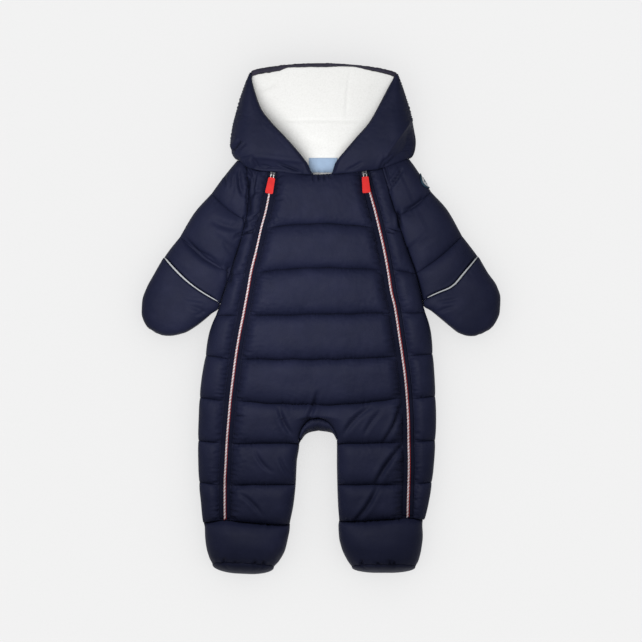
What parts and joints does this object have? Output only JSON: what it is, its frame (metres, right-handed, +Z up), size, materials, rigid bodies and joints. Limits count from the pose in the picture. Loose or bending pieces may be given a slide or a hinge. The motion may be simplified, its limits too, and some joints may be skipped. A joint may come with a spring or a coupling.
{
  "type": "baby snowsuit",
  "caption": "Quilted padded baby snowsuit laid flat on its back, with a fleece-lined hood, turned-over mittens, padded boots and zips from the neck to the ankles.",
  "frame": {"origin": "centre of the bounding box on the surface that the suit lies on", "axes": "+X to the right as one looks down on the front, +Y from the feet to the hood, +Z up from the surface"},
  "size_m": [0.518, 0.74, 0.055],
  "materials": {
    "shell": "softly shiny navy nylon",
    "fleece": "off-white fleece",
    "piping": "pale corded piping",
    "label": "pale blue woven label, bare",
    "zip_tape": "matt navy woven tape",
    "coil": "nylon coil, striped white, navy and red",
    "metal": "polished metal",
    "tab": "red moulded rubber",
    "badge": "grey woven badge"
  },
  "bodies": {
    "suit": {"back_panel": "shell", "front_centre": "shell", "left_side_front": "shell", "right_side_front": "shell", "crotch_gusset": "shell", "left_sleeve": "shell", "right_sleeve": "shell", "left_mitten": "shell", "right_mitten": "shell", "left_mitten_piping": "piping", "right_mitten_piping": "piping", "left_boot": "shell", "right_boot": "shell", "left_sole": "shell", "right_sole": "shell", "hood_back": "shell", "left_hood_side": "shell", "right_hood_side": "shell", "hood_brim": "shell", "hood_lining": "fleece", "neck_label": "label", "left_zip_tape": "zip_tape", "right_zip_tape": "zip_tape", "left_zip_coil": "coil", "right_zip_coil": "coil", "left_slider": "metal", "right_slider": "metal", "sleeve_badge": "badge"},
    "left_pull": {"left_pull_link": "metal", "left_pull_tab": "tab"},
    "right_pull": {"right_pull_link": "metal", "right_pull_tab": "tab"}
  },
  "joints": [
    {"name": "left_pull_hinge", "type": "hinge", "parent": "suit", "child": "left_pull", "pos_m": [-0.0699, 0.207, 0.0347], "axis": [-0.9816, 0.1908, 0], "range_deg": [0, 120]},
    {"name": "right_pull_hinge", "type": "hinge", "parent": "suit", "child": "right_pull", "pos_m": [0.0632, 0.2084, 0.0347], "axis": [-0.9962, -0.0872, 0], "range_deg": [0, 120]}
  ]
}
